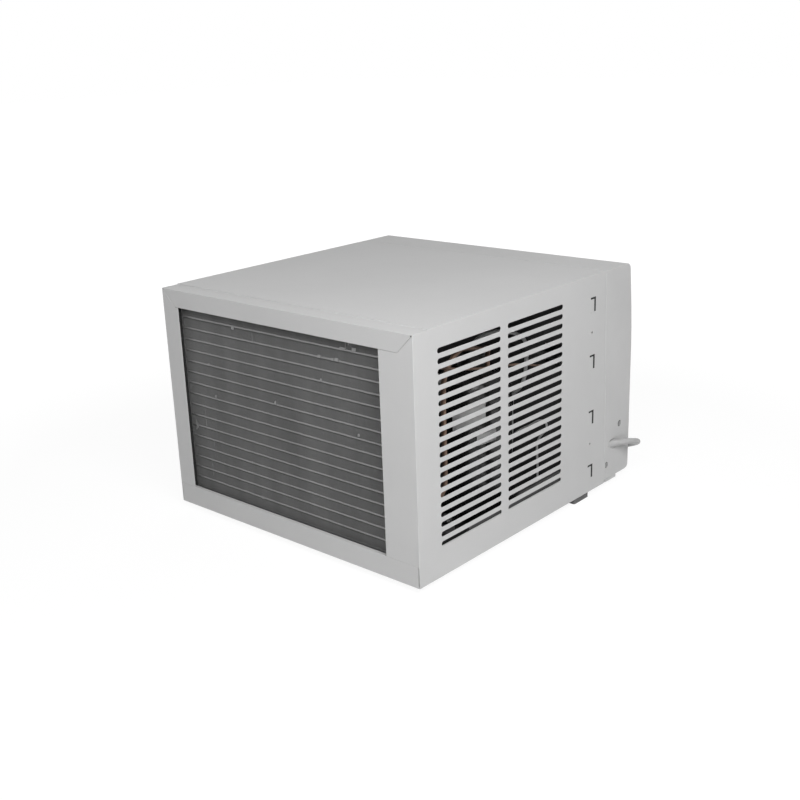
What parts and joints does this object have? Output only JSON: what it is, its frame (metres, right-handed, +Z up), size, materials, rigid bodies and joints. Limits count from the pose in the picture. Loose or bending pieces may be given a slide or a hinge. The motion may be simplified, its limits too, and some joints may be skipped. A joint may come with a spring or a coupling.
{
  "type": "window air conditioner",
  "caption": "Window air conditioner with a louvred sheet-steel cabinet, an exposed rear condenser coil, a full refrigeration and fan set inside, and a plastic front with vanes and knobs.",
  "frame": {"origin": "centre of the footprint, at the underside of the rubber feet", "axes": "+Z up, -Y towards the room (front grille), +Y towards the outdoors (condenser coil), +X towards the control knobs' side"},
  "size_m": [0.5835, 0.7855, 0.402],
  "materials": {
    "cabinet_enamel": "satin",
    "bezel_plastic": "satin",
    "knob_plastic": "gloss",
    "link_plastic": "matte",
    "foot_rubber": "matte",
    "fin_aluminium": "satin",
    "tube_copper": "satin",
    "galvanised_steel": "satin",
    "bright_steel": "polished",
    "fan_plastic": "matte",
    "motor_enamel": "satin",
    "compressor_enamel": "gloss",
    "black_plastic": "matte",
    "duct_foam": "matte",
    "pipe_foam": "matte",
    "capacitor_can": "satin",
    "filter_plastic": "matte",
    "vent_steel": "satin",
    "cord_pvc": "satin"
  },
  "bodies": {
    "chassis": {"base_pan": "cabinet_enamel", "rubber_feet": "foot_rubber", "cabinet_wrapper": "cabinet_enamel", "condenser_fins": "fin_aluminium", "condenser_tubes": "tube_copper", "condenser_end_plates": "galvanised_steel", "fan_shroud": "fan_plastic", "fan_motor": "motor_enamel", "motor_bracket": "galvanised_steel", "bulkhead": "galvanised_steel", "scroll_housing": "duct_foam", "blower_inlet_plate": "duct_foam", "discharge_duct": "duct_foam", "evaporator_fins": "fin_aluminium", "evaporator_tubes": "tube_copper", "evaporator_end_plates": "galvanised_steel", "drain_tray": "duct_foam", "compressor": "compressor_enamel", "compressor_grommets": "foot_rubber", "compressor_bolts": "bright_steel", "terminal_cover": "black_plastic", "suction_accumulator": "compressor_enamel", "discharge_pipe": "tube_copper", "suction_pipe": "pipe_foam", "capillary_tube": "tube_copper", "control_box": "galvanised_steel", "run_capacitor": "capacitor_can", "mode_switch": "black_plastic", "thermostat": "bright_steel", "control_panel": "bezel_plastic", "front_bezel": "bezel_plastic", "bezel_screws": "bright_steel", "intake_grille": "bezel_plastic", "filter_rails": "bezel_plastic", "discharge_frame": "bezel_plastic", "strain_relief": "cord_pvc", "cord_lead": "cord_pvc", "cord_coil": "cord_pvc", "cord_end": "cord_pvc", "plug": "cord_pvc"},
    "rotor": {"motor_shaft": "bright_steel", "condenser_fan": "fan_plastic", "blower_wheel": "fan_plastic"},
    "mode_knob": {"mode_knob": "knob_plastic"},
    "temperature_knob": {"temperature_knob": "knob_plastic"},
    "vent_rod": {"vent_rod": "knob_plastic"},
    "vent_door": {"vent_door": "vent_steel"},
    "air_filter": {"air_filter": "filter_plastic"},
    "level_vane_1": {"level_vane_1": "bezel_plastic"},
    "level_vane_2": {"level_vane_2": "bezel_plastic"},
    "level_vane_3": {"level_vane_3": "bezel_plastic"},
    "level_vane_link": {"level_vane_link": "link_plastic"},
    "upright_vane_link": {"upright_vane_link": "link_plastic"},
    "upright_vane_1": {"upright_vane_1": "bezel_plastic"},
    "upright_vane_2": {"upright_vane_2": "bezel_plastic"},
    "upright_vane_3": {"upright_vane_3": "bezel_plastic"},
    "upright_vane_4": {"upright_vane_4": "bezel_plastic"},
    "upright_vane_5": {"upright_vane_5": "bezel_plastic"},
    "upright_vane_6": {"upright_vane_6": "bezel_plastic"},
    "upright_vane_7": {"upright_vane_7": "bezel_plastic"}
  },
  "joints": [
    {"name": "fan_spin", "type": "hinge", "parent": "chassis", "child": "rotor", "pos_m": [-0.01, 0.066, 0.198], "axis": [0, 1, 0], "continuous": true},
    {"name": "mode_turn", "type": "hinge", "parent": "chassis", "child": "mode_knob", "pos_m": [0.174, -0.272, 0.348], "axis": [0, 1, 0], "range_deg": [0, 180]},
    {"name": "temperature_turn", "type": "hinge", "parent": "chassis", "child": "temperature_knob", "pos_m": [0.216, -0.272, 0.348], "axis": [0, 1, 0], "range_deg": [0, 270]},
    {"name": "vent_pull", "type": "slide", "parent": "chassis", "child": "vent_rod", "axis": [0, -1, 0], "range_m": [0, 0.013]},
    {"name": "vent_swing", "type": "hinge", "parent": "chassis", "child": "vent_door", "pos_m": [0, -0.0874, 0.364], "axis": [-1, 0, 0], "range_deg": [0, 22.7]},
    {"name": "filter_slide", "type": "slide", "parent": "chassis", "child": "air_filter", "axis": [1, 0, 0], "range_m": [0, 0.42]},
    {"name": "level_vane_1_tilt", "type": "hinge", "parent": "chassis", "child": "level_vane_1", "pos_m": [0, -0.275, 0.3264], "axis": [1, 0, 0], "range_deg": [-25, 25]},
    {"name": "level_vane_2_tilt", "type": "hinge", "parent": "chassis", "child": "level_vane_2", "pos_m": [0, -0.275, 0.348], "axis": [1, 0, 0], "range_deg": [-25, 25]},
    {"name": "level_vane_3_tilt", "type": "hinge", "parent": "chassis", "child": "level_vane_3", "pos_m": [0, -0.275, 0.3696], "axis": [1, 0, 0], "range_deg": [-25, 25]},
    {"name": "level_link_slide", "type": "slide", "parent": "chassis", "child": "level_vane_link", "axis": [0, 0, 1], "range_m": [-0.00322, 0.00322]},
    {"name": "upright_vane_1_turn", "type": "hinge", "parent": "chassis", "child": "upright_vane_1", "pos_m": [-0.23077, -0.248, 0.348], "axis": [0, 0, 1], "range_deg": [-30, 30]},
    {"name": "upright_vane_2_turn", "type": "hinge", "parent": "chassis", "child": "upright_vane_2", "pos_m": [-0.17351, -0.248, 0.348], "axis": [0, 0, 1], "range_deg": [-30, 30]},
    {"name": "upright_vane_3_turn", "type": "hinge", "parent": "chassis", "child": "upright_vane_3", "pos_m": [-0.11626, -0.248, 0.348], "axis": [0, 0, 1], "range_deg": [-30, 30]},
    {"name": "upright_vane_4_turn", "type": "hinge", "parent": "chassis", "child": "upright_vane_4", "pos_m": [-0.059, -0.248, 0.348], "axis": [0, 0, 1], "range_deg": [-30, 30]},
    {"name": "upright_vane_5_turn", "type": "hinge", "parent": "chassis", "child": "upright_vane_5", "pos_m": [-0.00174, -0.248, 0.348], "axis": [0, 0, 1], "range_deg": [-30, 30]},
    {"name": "upright_vane_6_turn", "type": "hinge", "parent": "chassis", "child": "upright_vane_6", "pos_m": [0.05551, -0.248, 0.348], "axis": [0, 0, 1], "range_deg": [-30, 30]},
    {"name": "upright_vane_7_turn", "type": "hinge", "parent": "chassis", "child": "upright_vane_7", "pos_m": [0.11277, -0.248, 0.348], "axis": [0, 0, 1], "range_deg": [-30, 30]},
    {"name": "upright_link_slide", "type": "slide", "parent": "chassis", "child": "upright_vane_link", "axis": [-1, 0, 0], "range_m": [-0.00482, 0.00482]}
  ],
  "couplings": [
    {"joint": "vent_swing", "follows": "vent_pull", "rad_per_m": 30.476},
    {"joint": "level_vane_2_tilt", "follows": "level_vane_1_tilt", "ratio": 1},
    {"joint": "level_vane_3_tilt", "follows": "level_vane_1_tilt", "ratio": 1},
    {"joint": "level_link_slide", "follows": "level_vane_1_tilt", "m_per_rad": 0.00737},
    {"joint": "upright_vane_2_turn", "follows": "upright_vane_1_turn", "ratio": 1},
    {"joint": "upright_vane_3_turn", "follows": "upright_vane_1_turn", "ratio": 1},
    {"joint": "upright_vane_4_turn", "follows": "upright_vane_1_turn", "ratio": 1},
    {"joint": "upright_vane_5_turn", "follows": "upright_vane_1_turn", "ratio": 1},
    {"joint": "upright_vane_6_turn", "follows": "upright_vane_1_turn", "ratio": 1},
    {"joint": "upright_vane_7_turn", "follows": "upright_vane_1_turn", "ratio": 1},
    {"joint": "upright_link_slide", "follows": "upright_vane_1_turn", "m_per_rad": 0.0092}
  ]
}
